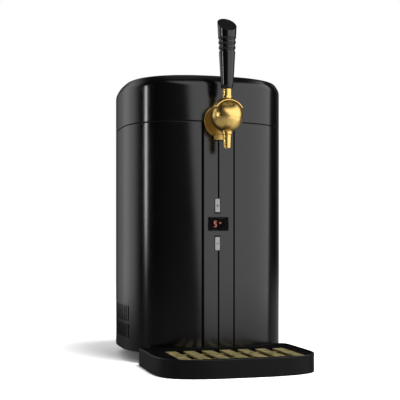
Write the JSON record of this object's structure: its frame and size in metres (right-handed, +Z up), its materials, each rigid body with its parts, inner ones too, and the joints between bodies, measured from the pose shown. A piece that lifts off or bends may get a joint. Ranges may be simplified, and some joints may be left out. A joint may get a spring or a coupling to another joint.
{
  "type": "draft beer dispenser",
  "caption": "Countertop cooled keg dispenser with a hinged lid, a ball tap with a lever handle, temperature display, push buttons and a drip tray with a lift-out grille.",
  "frame": {"origin": "centre of the bottom of the bounding box, on the surface that the dispenser stands on", "axes": "+Z up along the tap handle, the tap and drip tray face -Y, the hinge and mains inlet face +Y, X runs from side to side"},
  "size_m": [0.2332, 0.3955, 0.4717],
  "materials": {
    "gloss_black": "high gloss black plastic",
    "satin_black": "satin black plastic",
    "matt_black": "matt black plastic",
    "smoked_glass": "smoked clear plastic",
    "gold": "satin gold plated metal",
    "steel": "plain steel",
    "aluminium": "plain aluminium",
    "liner_grey": "grey plastic",
    "button_grey": "light grey plastic",
    "rubber": "matt black rubber",
    "foam": "rigid insulating foam",
    "ceramic": "white ceramic",
    "board_green": "green circuit board",
    "led_red": "red display element",
    "hose": "translucent beverage hose",
    "brass": "plain brass"
  },
  "bodies": {
    "housing": {"outer_shell": "gloss_black", "base_plate": "matt_black", "foot_front_left": "rubber", "foot_front_right": "rubber", "foot_rear_left": "rubber", "foot_rear_right": "rubber", "power_supply": "matt_black", "inner_liner": "aluminium", "insulation": "foam", "top_deck": "satin_black", "lid_gasket": "rubber", "cold_block": "aluminium", "peltier_module": "ceramic", "heat_sink": "aluminium", "fan_frame": "matt_black", "fan_shroud": "matt_black", "rear_panel": "gloss_black", "panel_screw_1": "steel", "panel_screw_2": "steel", "panel_screw_3": "steel", "panel_screw_4": "steel", "display_window": "smoked_glass", "led_display": "led_red", "control_board": "board_green", "plus_switch": "matt_black", "minus_switch": "matt_black", "inlet_housing": "matt_black", "inlet_pins": "brass", "tap_flange": "gold", "tap_shank": "gold", "tap_bracket": "steel", "shank_nut": "brass", "tap_ball": "gold", "lever_pin": "steel", "tap_spout": "gold", "shank_elbow": "brass", "beer_line": "hose", "keg_coupler": "satin_black", "hinge_bracket": "matt_black", "hinge_pin": "steel"},
    "lid": {"lid_shell": "gloss_black", "lid_lining": "liner_grey", "hinge_leaf": "matt_black"},
    "lever": {"tap_lever": "gold", "tap_handle": "gloss_black"},
    "valve": {"valve_plunger": "steel"},
    "plus": {"plus_button": "button_grey"},
    "minus": {"minus_button": "button_grey"},
    "rocker": {"power_rocker": "matt_black"},
    "fan": {"fan_rotor": "matt_black"},
    "tray": {"drip_tray": "satin_black"},
    "grille": {"grille_frame": "satin_black", "grille_bars": "gold"}
  },
  "joints": [
    {"name": "lid_hinge", "type": "hinge", "parent": "housing", "child": "lid", "pos_m": [0, 0.1932, 0.3353], "axis": [-1, 0, 0], "range_deg": [0, 82]},
    {"name": "tap_lever_hinge", "type": "hinge", "parent": "housing", "child": "lever", "pos_m": [0, -0.111, 0.3379], "axis": [1, 0, 0], "range_deg": [0, 34]},
    {"name": "valve_slide", "type": "slide", "parent": "housing", "child": "valve", "axis": [0, 1, 0], "range_m": [0, 0.0022]},
    {"name": "plus_button_press", "type": "slide", "parent": "housing", "child": "plus", "axis": [0, 1, 0], "range_m": [0, 0.0007], "stiffness_N_per_m": 700, "springref_m": -0.0004},
    {"name": "minus_button_press", "type": "slide", "parent": "housing", "child": "minus", "axis": [0, 1, 0], "range_m": [0, 0.0007], "stiffness_N_per_m": 700, "springref_m": -0.0004},
    {"name": "power_rocker_hinge", "type": "hinge", "parent": "housing", "child": "rocker", "pos_m": [0, 0.1896, 0.082], "axis": [-1, 0, 0], "range_deg": [0, 16]},
    {"name": "fan_spin", "type": "hinge", "parent": "housing", "child": "fan", "pos_m": [0, 0.163, 0.186], "axis": [0, 1, 0], "continuous": true},
    {"name": "tray_slide", "type": "slide", "parent": "housing", "child": "tray", "axis": [0, -1, 0], "range_m": [0, 0.12]},
    {"name": "grille_lift", "type": "slide", "parent": "tray", "child": "grille", "axis": [0, 0, 1], "range_m": [0, 0.06]}
  ],
  "couplings": [
    {"joint": "valve_slide", "follows": "tap_lever_hinge", "m_per_rad": 0.0037}
  ]
}
